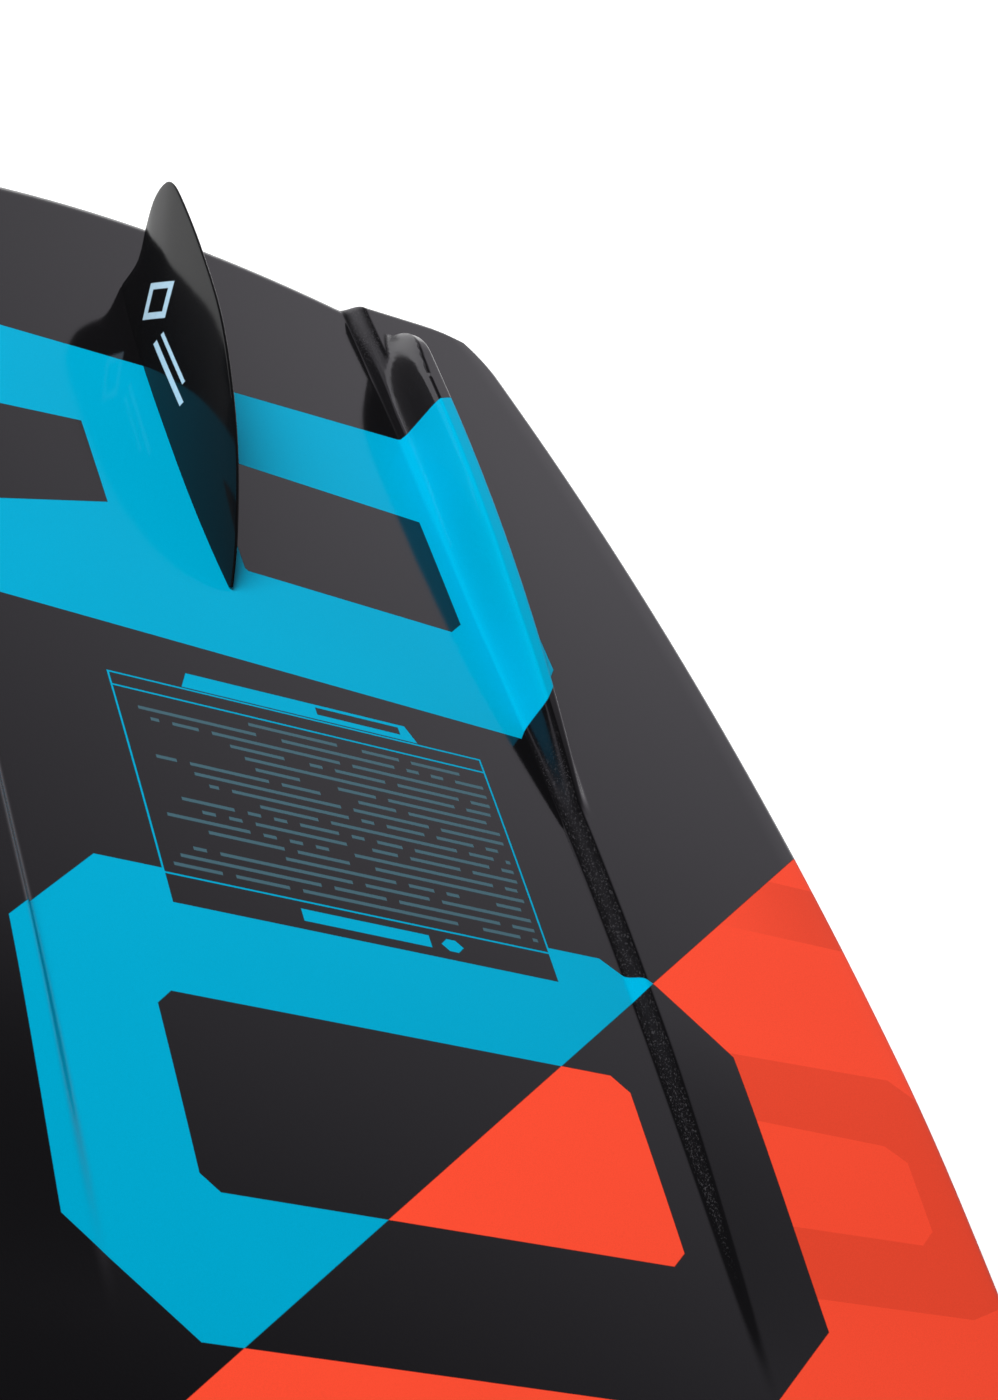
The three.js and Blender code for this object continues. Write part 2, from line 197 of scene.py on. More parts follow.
def panel_height(x, from_foot, with_fin):
    """Height of the base over the rocker line, with every moulded edge rounded."""
    a = abs(x)
    step = step_height(x)
    flank = smooth(ramp(a, FLANK_FRONT)) * smooth(ramp(a, FLANK_REAR)) if with_fin else 0
    knee_out = between(WALL_LEAN / 2, FILLET_OUT, flank)
    knee_up = between(step / 2, FILLET_UP, flank)
    brink = between(WALL_LEAN, FLANK_BRINK, flank)
    window = from_foot + np.linspace(-SOFTEN, SOFTEN, SOFTEN_STEPS)
    height = np.interp(window, (0, knee_out, brink), (0, knee_up, step))
    ridge = fin_ridge(x)
    if with_fin and ridge > step:
        foot = panel_foot(x)
        turn_in = FIN_TURN_IN * max(0, ramp(a, (FIN_FULL[0], FIN_REAR))) ** 2
        inner = max(FIN_RIDGE_IN - foot, FIN_FLANK_IN)
        spread = (inner - FIN_FLANK_IN) / (FIN_RIDGE_IN - PANEL_HALF_TIP - FIN_FLANK_IN)
        outer = FIN_RIDGE_OUT - foot
        lean = FIN_FLANK_OUT * (ridge - step) / (FIN_RIDGE - step)
        across = (
            turn_in,
            FILLET_OUT * spread**2 + turn_in,
            inner + turn_in,
            outer,
            outer + lean,
        )
        raised = (0, FILLET_UP * spread**2, ridge, ridge, step)
        height = np.maximum(height, np.interp(window, across, raised))
    return float(height.mean())


def round_over(inset, edge):
    return 1 - math.sqrt(1 - ((edge - inset) / edge) ** 2)


# ---- a grid laid over the outline ----
SETTLE_ROUNDS = 6                   # x and y depend on each other, and this settles them


def place(column, row, edge, offset):
    """One point of the grid: plan position, inset from the rim and distance from the step."""
    x = column.get("station", HALF_LENGTH)
    y = 0
    for _ in range(SETTLE_ROUNDS):
        y = row["line"](x) if "line" in row else half_width(x) - row["inset"] - offset
        reach = tip_reach(y)
        if "inset" in column:
            x = reach - column["inset"] - offset
        elif column["station"] > STRAIGHT:
            span = HALF_LENGTH - edge - offset - STRAIGHT
            share = (reach - edge - offset - STRAIGHT) / span
            x = STRAIGHT + (column["station"] - STRAIGHT) * share
    from_tip = tip_reach(y) - x
    from_side = half_width(x) - y
    inset = min(column.get("inset", edge), row.get("inset", edge))
    from_foot = y - panel_foot(x)
    if from_tip < CORNER and from_side < CORNER:
        p = 1 - from_tip / CORNER
        q = 1 - from_side / CORNER
        x += from_tip - CORNER * (1 - p * math.sqrt(1 - q * q / 2))
        y += from_side - CORNER * (1 - q * math.sqrt(1 - p * p / 2))
    return x, y, inset, from_foot


def lay_grid(plan, offset, height):
    """Points (x, y, height) of a whole surface; one quarter is worked out and mirrored."""
    rims = [{"inset": inset} for inset in plan["insets"]]
    columns = [{"station": s} for s in plan["stations"]] + rims
    rows = [{"line": line} for line in plan["lines"]] + rims
    quarter = np.array([
        [
            (x, y, height(x, inset, from_foot))
            for x, y, inset, from_foot in (place(c, r, plan["edge"], offset) for r in rows)
        ]
        for c in columns
    ])
    left = np.concatenate([quarter[:, :0:-1] * (1, -1, 1), quarter], axis=1)
    return np.concatenate([left[:0:-1] * (-1, 1, 1), left], axis=0)


def mesh_object(name, points, faces, sharp=None):
    """A mesh piece from points in millimetres over the base crown."""
    data = bpy.data.meshes.new(name)
    lifted = (np.asarray(points, float) + (0, 0, LIFT)) * MM
    data.from_pydata([tuple(p) for p in lifted], [], faces)
    data.polygons.foreach_set("use_smooth", [True] * len(data.polygons))
    data.update()
    piece = bpy.data.objects.new(name, data)
    bpy.context.scene.collection.objects.link(piece)
    if sharp is not None:
        mark_sharp(piece, sharp)
    return piece


def mark_sharp(piece, degrees):
    """Edges that turn by more than this keep a crisp line in the shading."""
    bpy.context.view_layer.objects.active = piece
    piece.select_set(True)
    bpy.ops.object.shade_smooth_by_angle(angle=math.radians(degrees))
    piece.select_set(False)


def shell_between(name, upper, lower, sharp):
    """Closed shell between two grids of the same size, the first above the second."""
    nc, nr = upper.shape[:2]
    points = np.concatenate([upper.reshape(-1, 3), lower.reshape(-1, 3)])
    index = np.arange(nc * nr).reshape(nc, nr)
    under = index + nc * nr
    a, b, c, d = index[:-1, :-1], index[1:, :-1], index[1:, 1:], index[:-1, 1:]
    faces = np.stack([a, b, c, d], -1).reshape(-1, 4).tolist()
    a, b, c, d = under[:-1, :-1], under[:-1, 1:], under[1:, 1:], under[1:, :-1]
    faces += np.stack([a, b, c, d], -1).reshape(-1, 4).tolist()
    rim = [*index[:, 0], *index[-1, 1:], *index[-2::-1, -1], *index[0, -2:0:-1]]
    for i, j in zip(rim, rim[1:] + rim[:1]):
        faces.append([int(j), int(i), int(i) + nc * nr, int(j) + nc * nr])
    return mesh_object(name, points, faces, sharp)


# ---- turned pieces, in a frame whose +Z points out of the deck ----
def deck_frame(x, y):
    tilt = Matrix.Rotation(slope_angle(x) + math.pi, 4, "Y")
    return Matrix.Translation((x, y, deck_height(x))) @ tilt


def turned(name, profile, where, segments=40, sharp=35):
    """A piece turned about its own axis; profile rows are (radius, height) or, for a
    six-sided socket, (radius across flats, height, True)."""
    points, rings = [], []
    for row in profile:
        radius, height = row[0], row[1]
        if radius == 0:
            rings.append([len(points)] * segments)
            points.append((0, 0, height))
            continue
        rings.append(list(range(len(points), len(points) + segments)))
        for k in range(segments):
            angle = 2 * math.pi * k / segments
            r = radius
            if len(row) > 2:
                sixth = math.pi / 3
                r = radius / math.cos((angle + sixth / 2) % sixth - sixth / 2)
            points.append((r * math.cos(angle), r * math.sin(angle), height))
    faces = []
    for low, high in zip(rings, rings[1:]):
        for k in range(segments):
            n = (k + 1) % segments
            face = [low[k], low[n], high[n], high[k]]
            faces.append(list(dict.fromkeys(face)))
    placed = [tuple(where @ Vector(p)) for p in points]
    return mesh_object(name, placed, faces, sharp)


def rod_cutter(name, radius, low, high, where):
    return turned(name, ((0, low), (radius, low), (radius, high), (0, high)), where)


def cut(piece, cutters, sharp):
    """Takes the cutters out of the piece and removes them."""
    for cutter in cutters:
        cutter.select_set(True)
    bpy.context.view_layer.objects.active = cutters[0]
    bpy.ops.object.join()
    tool = cutters[0]
    tool.select_set(False)
    difference = piece.modifiers.new("holes", "BOOLEAN")
    difference.operation = "DIFFERENCE"
    difference.solver = "MANIFOLD"
    difference.object = tool
    bpy.context.view_layer.objects.active = piece
    bpy.ops.object.modifier_apply(modifier=difference.name)
    bpy.data.objects.remove(tool)
    mark_sharp(piece, sharp)
    return piece


ENDS = ((1, "nose"), (-1, "tail"))
SIDES = ((1, "left"), (-1, "right"))
INSERTS = [
    (
        f"{end_name}_{side_name}_{i + 1}",
        deck_frame(
            end * (STANCE_X + (i - (INSERTS_PER_ROW - 1) / 2) * INSERT_PITCH),
            side * INSERT_Y,
        ),
    )
    for end, end_name in ENDS
    for side, side_name in SIDES
    for i in range(INSERTS_PER_ROW)
]
BOLTS = [
    (f"{end_name}_{i + 1}", at, deck_frame(end * at, 0))
    for end, end_name in ENDS
    for i, at in enumerate(KEEL_BOLTS)
]
CUT_IN = 6                          # how far a cutter reaches past a skin, inwards and outwards
CUT_OUT = 3


# ---- base shell with its steps and moulded side fins ----
def blend_line(share, start, stop):
    return lambda x: start(x) + (stop(x) - start(x)) * share


def foot_line(extra):
    return lambda x: panel_foot(x) + extra


BASE_SHARP, DECK_SHARP = 60, 50     # edges that turn by more degrees than this stay crisp
FINE_IN, FINE_OUT = -2.4, 21.6      # rows are close together here, from the foot of the step
RIM_ROW = 26
# spacing of the base's grid, closer where a side fin begins and towards the tip
BASE_PLAN = {
    "stations": [
        *np.arange(0, 396, 8.0),
        *np.arange(396, 480, 2.8),
        *np.arange(480, STRAIGHT, 5.0),
        *np.arange(STRAIGHT, HALF_LENGTH - BASE_EDGE - 1, 1.35),
    ],
    "lines": [
        *(blend_line(s, lambda x: 0, foot_line(FINE_IN - 1)) for s in np.linspace(0, 1, 12)),
        *(foot_line(w) for w in np.linspace(FINE_IN, FINE_OUT, 46)),
        *(
            blend_line(s, foot_line(FINE_OUT), lambda x: half_width(x) - RIM_ROW)
            for s in np.linspace(0.2, 1, 5)
        ),
        *(lambda x, inset=inset: half_width(x) - inset for inset in (20, 14)),
    ],
    "edge": BASE_EDGE,
    "insets": (6.5, 5.8, 5, 4.2, 3.5, 2.8, 2.1, 1.5, 1, 0.6, 0.3, 0.1, 0),
}


def base_outside(x, inset, from_foot):
    top = panel_height(x, from_foot, True) - drop(x)
    return top - (top - seam_height(x)) * round_over(inset, BASE_EDGE)


def base_inside(x, inset, from_foot):
    if inset == 0:
        return seam_height(x)
    top = panel_height(x, from_foot - SHELL / 2, False) - drop(x)
    return top - (top - seam_height(x)) * round_over(inset, BASE_EDGE) - SHELL


base = shell_between(
    "base_shell_moulded",
    lay_grid(BASE_PLAN, 0, base_outside),
    lay_grid(BASE_PLAN, SHELL, base_inside),
    BASE_SHARP,
)
cut(base, [
    rod_cutter(
        f"base_hole_{name}",
        BOLT_R + CLEARANCE,
        -thickness(x) - CUT_OUT,
        -thickness(x) + CUT_IN,
        where,
    )
    for name, x, where in BOLTS
], BASE_SHARP)

# ---- deck shell ----
DECK_PLAN = {
    "stations": [*np.arange(0, HALF_LENGTH - DECK_EDGE - 5, 10.0)],
    "lines": [
        *(
            blend_line(s, lambda x: 0, lambda x: half_width(x) - RIM_ROW)
            for s in np.linspace(0, 1, 19)
        ),
    ],
    "edge": DECK_EDGE,
    "insets": (14, 12, 10, 8, 6.5, 5, 3.6, 2.4, 1.4, 0.7, 0.2, 0),
}


def deck_outside(x, inset, from_foot):
    bottom = deck_height(x)
    rise = seam_height(x) - bottom
    return bottom + rise * round_over(inset, DECK_EDGE) - (GAP if inset == 0 else 0)


def deck_inside(x, inset, from_foot):
    if inset == 0:
        return seam_height(x) - GAP
    bottom = deck_height(x)
    rise = seam_height(x) - bottom
    return bottom + rise * round_over(inset, DECK_EDGE) + SHELL


deck = shell_between(
    "deck_shell_moulded",
    lay_grid(DECK_PLAN, SHELL, deck_inside),
    lay_grid(DECK_PLAN, 0, deck_outside),
    DECK_SHARP,
)
cut(deck, [
    *(
        rod_cutter(f"deck_mouth_{name}", INSERT_NECK_R + GAP, -CUT_IN, CUT_OUT, where)
        for name, where in INSERTS
    ),
    *(
        rod_cutter(f"deck_hole_{name}", BOLT_R + CLEARANCE, -CUT_IN, CUT_OUT, where)
        for name, x, where in BOLTS
    ),
], DECK_SHARP)


# ---- centre fins ----
def spline(points, count):
    """Evenly spread points on a Catmull-Rom curve through the given ones."""
    pts = np.array([points[0], *points, points[-1]], float)
    out = []
    spans = len(points) - 1
    for k in range(count):
        u = min(k / (count - 1) * spans, spans - 1e-9)
        i, t = int(u), u - int(u)
        p0, p1, p2, p3 = pts[i : i + 4]
        out.append(
            0.5 * (2 * p1 + (p2 - p0) * t + (2 * p0 - 5 * p1 + 4 * p2 - p3) * t**2
                   + (3 * p1 - p0 - 3 * p2 + p3) * t**3)
        )
    return np.array(out)


KEEL_SHARP = 50
KEEL_COLUMNS = 150
KEEL_RISES = (*np.linspace(0, 0.9, 19), 0.93, 0.955, 0.975, 0.99)
KEEL_EDGE_SHARE = 0.4               # the crest edge stays below this share of a short section
CREST_ARC = (75, 45, 0, -45, -75)   # degrees round the rounded crest edge


def keel_section(column, top):
    """One section of the fin, from its left root over the crest to its right root."""
    a = column / (KEEL_COLUMNS - 1)
    root_x = KEEL_ROOT[0] + (KEEL_ROOT[1] - KEEL_ROOT[0]) * a
    foil = 1 - abs(2 * a - 1) ** KEEL_FOIL_POWER
    along = np.array([top[0] - root_x, top[1]])
    reach = np.linalg.norm(along)
    side = []
    for rise in KEEL_RISES:
        spare = 1 - rise**KEEL_TAPER_POWER
        half = KEEL_EDGE_HALF + (KEEL_HALF_THICK - KEEL_EDGE_HALF) * foil * spare
        side.append((root_x + along[0] * rise, half, along[1] * rise))
    other_side = [(x, -half, h) for x, half, h in reversed(side)]
    edge = min(KEEL_EDGE_HALF, reach * KEEL_EDGE_SHARE)
    arc = []
    for degrees in CREST_ARC:
        lean = math.radians(degrees)
        back = 1 - edge * (1 - math.cos(lean)) / reach
        arc.append((root_x + along[0] * back, edge * math.sin(lean), along[1] * back))
    return [*side, *arc, *other_side]


def centre_fin(name, end):
    crest = spline(KEEL_OUTLINE, KEEL_COLUMNS)
    sections = np.array([keel_section(i, top) for i, top in enumerate(crest)])
    sections[..., 2] += GAP / 2 - np.vectorize(drop)(sections[..., 0])
    sections[..., :2] *= end
    nc, nr = sections.shape[:2]
    index = np.arange(nc * nr).reshape(nc, nr)
    around = np.roll(index, -1, axis=1)
    a, b, c, d = index[:-1], index[1:], around[1:], around[:-1]
    faces = np.stack([a, d, c, b], -1).reshape(-1, 4).tolist()
    faces.append(index[0].tolist())
    faces.append(index[-1, ::-1].tolist())
    return mesh_object(name, sections.reshape(-1, 3), faces, KEEL_SHARP)


keels = [
    (end, end_name, centre_fin(f"centre_fin_foil_{end_name}", end)) for end, end_name in ENDS
]

# ---- fin screws, washers and binding inserts ----
BEVEL = 0.2
TURNED_SHARP = 25
SCREW_SEGMENTS = 48
INSERT_SEGMENTS = 32
WASHER_R = 5.2
WASHER_THICK = 1
HEAD_BASE = WASHER_THICK + 2 * GAP  # underside of a screw head, over the deck
SCREW_R = 4
HEAD_RIM = 1.5                      # heights over the underside of the head
HEAD_TOP = 2.4
SOCKET_FLOOR = 0.8
SOCKET_POINT = 0.6
HEAD_FLAT_R = 2.4                   # where the domed rim ends and the flat top begins
SOCKET_FLATS = 1.5                  # from the axis to a flat of the socket
SOCKET_MOUTH = 0.45                 # how much wider the socket's countersink is
SOCKET_LIP = 0.05                   # the socket's edge is rounded by this
SOCKET_SINK = 0.3                   # depth of the countersink
TIP_BEVEL = 0.4
SCREW_PLAIN = 1                     # the thread stops this far from its ends
SCREW_PITCH = 0.7
SCREW_GROOVE = 0.35
THREAD_PITCH = 1                    # in the binding inserts
THREAD_GROOVE = 0.45
THREAD_LEAD = 0.6
THREAD_END = 2.4                    # heights over the bottom of the insert
BORE_FLOOR = 1.2
BORE_POINT = 1


def screw_profile(x):
    tip = -thickness(x) - BOLT_IN_KEEL
    rows = [(0, tip), (BOLT_R - TIP_BEVEL, tip), (BOLT_R, tip + TIP_BEVEL)]
    height = tip + SCREW_PLAIN
    while height < tip + BOLT_IN_KEEL - SCREW_PLAIN:
        rows += [(BOLT_R, height), (BOLT_R - SCREW_GROOVE, height + SCREW_PITCH / 2)]
        height += SCREW_PITCH
    rows += [
        (BOLT_R, height),
        (BOLT_R, HEAD_BASE),
        (SCREW_R - BEVEL, HEAD_BASE),
        (SCREW_R, HEAD_BASE + BEVEL),
    ]
    for degrees in range(0, 91, 15):
        lean = math.radians(degrees)
        rows.append((
            HEAD_FLAT_R + (SCREW_R - HEAD_FLAT_R) * math.cos(lean),
            HEAD_BASE + HEAD_RIM + (HEAD_TOP - HEAD_RIM) * math.sin(lean),
        ))
    rows += [
        (SOCKET_FLATS + SOCKET_MOUTH, HEAD_BASE + HEAD_TOP),
        (SOCKET_FLATS + SOCKET_LIP, HEAD_BASE + HEAD_TOP - SOCKET_SINK + SOCKET_LIP, True),
        (SOCKET_FLATS, HEAD_BASE + HEAD_TOP - SOCKET_SINK, True),
        (SOCKET_FLATS, HEAD_BASE + SOCKET_FLOOR, True),
        (0, HEAD_BASE + SOCKET_POINT),
    ]
    return rows


WASHER_PROFILE = (
    (BOLT_R + CLEARANCE + BEVEL, GAP),
    (WASHER_R - BEVEL, GAP),
    (WASHER_R, GAP + BEVEL),
    (WASHER_R, GAP + WASHER_THICK - BEVEL),
    (WASHER_R - BEVEL, GAP + WASHER_THICK),
    (BOLT_R + CLEARANCE + BEVEL, GAP + WASHER_THICK),
    (BOLT_R + CLEARANCE, GAP + WASHER_THICK - BEVEL),
    (BOLT_R + CLEARANCE, GAP + BEVEL),
    (BOLT_R + CLEARANCE + BEVEL, GAP),
)


def insert_profile():
    rows = [
        (0, INSERT_BOTTOM),
        (INSERT_R - BEVEL, INSERT_BOTTOM),
        (INSERT_R, INSERT_BOTTOM + BEVEL),
        (INSERT_R, INSERT_SHOULDER - BEVEL),
        (INSERT_R - BEVEL, INSERT_SHOULDER),
        (INSERT_NECK_R, INSERT_SHOULDER),
        (INSERT_NECK_R, INSERT_TOP - BEVEL),
        (INSERT_NECK_R - BEVEL, INSERT_TOP),
        (INSERT_BORE_R + THREAD_LEAD, INSERT_TOP),
    ]
    height = INSERT_TOP - THREAD_LEAD
    while height > INSERT_BOTTOM + THREAD_END:
        rows.append((INSERT_BORE_R, height))
        rows.append((INSERT_BORE_R + THREAD_GROOVE, height - THREAD_PITCH / 2))
        height -= THREAD_PITCH
    rows += [
        (INSERT_BORE_R, height),
        (INSERT_BORE_R, INSERT_BOTTOM + BORE_FLOOR),
        (0, INSERT_BOTTOM + BORE_POINT),
    ]
    return rows


screws = [
    (
        name,
        turned(f"fin_screw_head_{name}", screw_profile(x), where, SCREW_SEGMENTS, TURNED_SHARP),
    )
    for name, x, where in BOLTS
]
washers = [
    (
        name,
        turned(f"fin_washer_ring_{name}", WASHER_PROFILE, where, SCREW_SEGMENTS, TURNED_SHARP),
    )
    for name, x, where in BOLTS
]
inserts = [
    (
        name,
        turned(f"insert_threaded_{name}", insert_profile(), where, INSERT_SEGMENTS, TURNED_SHARP),
    )
    for name, where in INSERTS
]


# ---- materials ----
class Graph:
    """Short calls for building a material's nodes."""

    def __init__(self, name):
        self.material = bpy.data.materials.new(name)
        self.material.use_nodes = True
        self.tree = self.material.node_tree
        self.shader = self.tree.nodes["Principled BSDF"]
        self.place = self.new("ShaderNodeTexCoord").outputs["Object"]

    def new(self, kind, **settings):
        node = self.tree.nodes.new(kind)
        for key, value in settings.items():
            setattr(node, key, value)
        return node

    def put(self, socket, value):
        if isinstance(value, bpy.types.NodeSocket):
            self.tree.links.new(value, socket)
        else:
            socket.default_value = value

    def math(self, operation, *values, clamp=False):
        node = self.new("ShaderNodeMath", operation=operation, use_clamp=clamp)
        for socket, value in zip(node.inputs, values):
            self.put(socket, value)
        return node.outputs[0]

    def parts(self, vector):
        """The X, Y and Z of a vector."""
        node = self.new("ShaderNodeSeparateXYZ")
        self.put(node.inputs[0], vector)
        return node.outputs

    def stretched(self, scale):
        """The place in the piece, scaled differently along each axis."""
        node = self.new("ShaderNodeMapping")
        self.put(node.inputs["Vector"], self.place)
        node.inputs["Scale"].default_value = scale
        return node.outputs["Vector"]

    def line(self, x, y, kx, ky, constant):
        """kx * x + ky * y + constant"""
        return self.math("MULTIPLY_ADD", x, kx, self.math("MULTIPLY_ADD", y, ky, constant))

    def most(self, *values):
        result = values[0]
        for value in values[1:]:
            result = self.math("MAXIMUM", result, value)
        return result

    def inside(self, distance, soft=0.3):
        """1 where the distance in millimetres is below 0, 0 above."""
        return self.math("MULTIPLY_ADD", distance, -1 / soft, 0.5, clamp=True)

    def stroke(self, distance, half):
        """1 on a line along which the distance is 0; half is half its width."""
        return self.inside(self.math("SUBTRACT", self.math("ABSOLUTE", distance), half))

    def both(self, *masks):
        result = masks[0]
        for mask in masks[1:]:
            result = self.math("MULTIPLY", result, mask)
        return result

    def outside(self, mask):
        return self.math("SUBTRACT", 1.0, mask)

    def mix(self, share, first, second):
        node = self.new("ShaderNodeMix", data_type="RGBA")
        self.put(node.inputs["Factor"], share)
        for socket, value in ((node.inputs[6], first), (node.inputs[7], second)):
            self.put(socket, value)
        return node.outputs[2]

    def box(self, x, y, low, high, chamfer):
        """Distance outside a box from low to high, its corners cut by chamfer."""
        half_x, half_y = (high[0] - low[0]) / 2, (high[1] - low[1]) / 2
        from_x = self.math("ABSOLUTE", self.math("SUBTRACT", x, (low[0] + high[0]) / 2))
        from_y = self.math("ABSOLUTE", self.math("SUBTRACT", y, (low[1] + high[1]) / 2))
        sides = self.most(
            self.math("SUBTRACT", from_x, half_x),
            self.math("SUBTRACT", from_y, half_y),
        )
        if not chamfer:
            return sides
        half = math.sqrt(0.5)
        corner = self.line(from_x, from_y, half, half, half * (chamfer - half_x - half_y))
        return self.most(sides, corner)

    def polygon(self, x, y, corners):
        """Distance outside a convex polygon, its corners in order either way round."""
        edges = list(zip(corners, corners[1:] + corners[:1]))
        area = sum(p[0] * q[1] - q[0] * p[1] for p, q in edges)
        turn = 1 if area > 0 else -1
        sides = []
        for p, q in edges:
            along = Vector((q[0] - p[0], q[1] - p[1])).normalized() * turn
            sides.append(self.line(x, y, along.y, -along.x, along.x * p[1] - along.y * p[0]))
        return self.most(*sides)

    def noise(self, scale, detail=2.0, roughness=0.5, vector=None):
        node = self.new("ShaderNodeTexNoise")
        self.put(node.inputs["Vector"], vector or self.place)
        node.inputs["Scale"].default_value = scale
        node.inputs["Detail"].default_value = detail
        node.inputs["Roughness"].default_value = roughness
        return node.outputs["Fac"]

    def around(self, value, middle, swing):
        """Turns a 0 to 1 texture into middle plus or minus about half of swing."""
        return self.math("MULTIPLY_ADD", value, swing, middle - swing / 2)

    def scaled(self, colour, factor):
        node = self.new("ShaderNodeVectorMath", operation="SCALE")
        self.put(node.inputs[0], colour[:3] if isinstance(colour, tuple) else colour)
        self.put(node.inputs["Scale"], factor)
        return node.outputs[0]

    def bump(self, height, distance, strength=1.0):
        node = self.new("ShaderNodeBump")
        node.inputs["Strength"].default_value = strength
        node.inputs["Distance"].default_value = distance
        self.put(node.inputs["Height"], height)
        self.put(self.shader.inputs["Normal"], node.outputs["Normal"])

    def tint_gloss(self, colour):
        """The ink colours the gloss as well: same hue and saturation at full value."""
        split = self.new("ShaderNodeSeparateColor", mode="HSV")
        self.put(split.inputs[0], colour)
        joined = self.new("ShaderNodeCombineColor", mode="HSV")
        self.put(joined.inputs[0], split.outputs[0])
        self.put(joined.inputs[1], split.outputs[1])
        joined.inputs[2].default_value = 1.0
        self.put(self.shader.inputs["Specular Tint"], joined.outputs[0])
        return split.outputs[1]

    def dull(self, colour, share):
        """Takes this share of the gloss away, leaving the plain colour."""
        flat = self.new("ShaderNodeBsdfDiffuse")
        self.put(flat.inputs["Color"], colour)
        blend = self.new("ShaderNodeMixShader")
        self.put(blend.inputs[0], share)
        self.put(blend.inputs[1], self.shader.outputs[0])
        self.put(blend.inputs[2], flat.outputs[0])
        self.put(self.tree.nodes["Material Output"].inputs["Surface"], blend.outputs[0])

    def finish(self, colour, roughness, metallic=0.0, ior=1.5):
        self.put(self.shader.inputs["Base Color"], colour)
        self.put(self.shader.inputs["Roughness"], roughness)
        self.shader.inputs["Metallic"].default_value = metallic
        self.shader.inputs["IOR"].default_value = ior
        return self.material


BLACK = (0.0048, 0.0046, 0.0052, 1)
BLUE = (0.0, 0.375, 0.600, 1)
ORANGE = (1.0, 0.078, 0.034, 1)
ORANGE_SHADE = 0.84                 # the darker tone-on-tone frames
BASE_GLOSS = 0.09
BLACK_SPECK = (0.035, 0.034, 0.037, 1)
KEEL_BLACK = (0.0045, 0.0045, 0.005, 1)
KEEL_IOR = 1.28                     # the fins' gloss is weaker than the base's
MARK_COLOUR = (0.42, 0.60, 0.72, 1)
BAR_COLOUR = (0.20, 0.46, 0.58, 1)
DECK_BLACK = (0.020, 0.020, 0.022, 1)
WALL_UPRIGHT = 0.97                 # the base counts as a wall where its normal leans more
WALL_GRADE = 12                     # how quickly it does
WALL_ROUGH = 0.26                   # how much rougher the step walls are
WALL_SPECKLE = 0.60                 # light specks show where their noise is above this
WALL_SKIP = ((436, -300), (645, 300))   # the flank of a side fin takes the wall's place here
WALL_FADE = 36                      # and over this width the wall's finish fades out
INK_FROM = 0.4                      # more saturated than this is coloured ink
INK_DULL = 1.3                      # how much less it shines than the black
FIELD_NORMAL = (0.754, 0.657)       # the diagonal between the orange and black fields
FIELD_AT = 183

# corners of the printed shapes, on the nose half
RING = [
    (349.8, 80.4), (314.8, 116.7), (216.4, 117.6), (181.7, 82.9), (181.7, -101),
    (216.4, -137), (315.5, -134.3), (339.6, -112.5), (350.8, -98),
]
RING_HOLE = ((231.9, -91.4), (301.8, 71.4))
RING_HOLE_CHAMFER = 5.5
SHADE_RING = [(316, -100), (318.9, -197), (302, -221), (240, -221), (229.5, -198), (227, -100)]
SHADE_RING_HOLE = [
    (292, -90), (291, -185), (286, -192.5), (260.5, -193), (254.5, -187), (252, -90),
]
SHADE_BAND = ((373.5, -236), (399.2, -148))
SHADE_FADE = 42                     # the band fades in over this width
FIN_FRAME_REAR = 598.2
FIN_FRAME_WRAP = [
    (590, 100), (598.2, 100), (601.8, 104.2), (605, 111.2), (605, 118), (590, 118),
]

# straight edges of the frame round the centre fin, negative inside: the factors of x and y
# and a constant, or of the distance from the centreline and x for the two outer ones
FIN_FRAME_FRONT = (-1, 0.0468, 451.7)
FIN_FRAME_SIDE = (1, 0.028, -134.2)
FIN_FRAME_CORNER = (0.85, -0.52, 147.4)
WINDOW_RIGHT_EDGES = ((1, -0.0704, -557.9), (-1, 0.055, 498.8))
WINDOW_RIGHT_BOX = ((493.8, -93), (562, -9))
WINDOW_RIGHT_CHAMFER = 5.5
WINDOW_LEFT_EDGES = ((1, 0.093, -559.5), (-0.955, -0.2975, 503.3))
WINDOW_LEFT_BOX = ((490, 37.8), (562, 93))

# the printed card between the two frames, and its short bars
CARD = ((336.5, -78.4), (431.1, 57.6))
CARD_HEADER = 348.4
CARD_FOOTER = 425.4
CARD_RULE = 0.34                    # half the width of its thin lines
CARD_TAB = ((431.9, -70), (438.7, 50))
CARD_TAB_ENDS = ((0.9, 0.4, -201.2), (-0.9, 0.4, -222.1))
CARD_TAB_SLOT = ((434.2, -49), (437.4, -18))
CARD_TITLE = ((340.4, -33), (345.2, 12))
CARD_TITLE_DOT = ((340.4, -45), (345.2, -37))
CARD_TITLE_CHAMFER = 2.4
BAR_PITCH = 4.05
BAR_LENGTH = 4.6
BAR_SHIFT = 2.9                     # how far a row's bars are shifted against the next row's
BAR_HALF = 0.17                     # half the height of a bar, as a share of the pitch
BAR_START = CARD_HEADER + 2.4
BAR_BOX = ((BAR_START, -75.5), (CARD_FOOTER - 2, 55))
BAR_ROW_END = 8                     # rows end between here and BAR_ROW_SPREAD further
BAR_ROW_SPREAD = 46
BAR_GAPS = 0.22                     # share of the places that are left empty
BAR_STRENGTH = 0.24


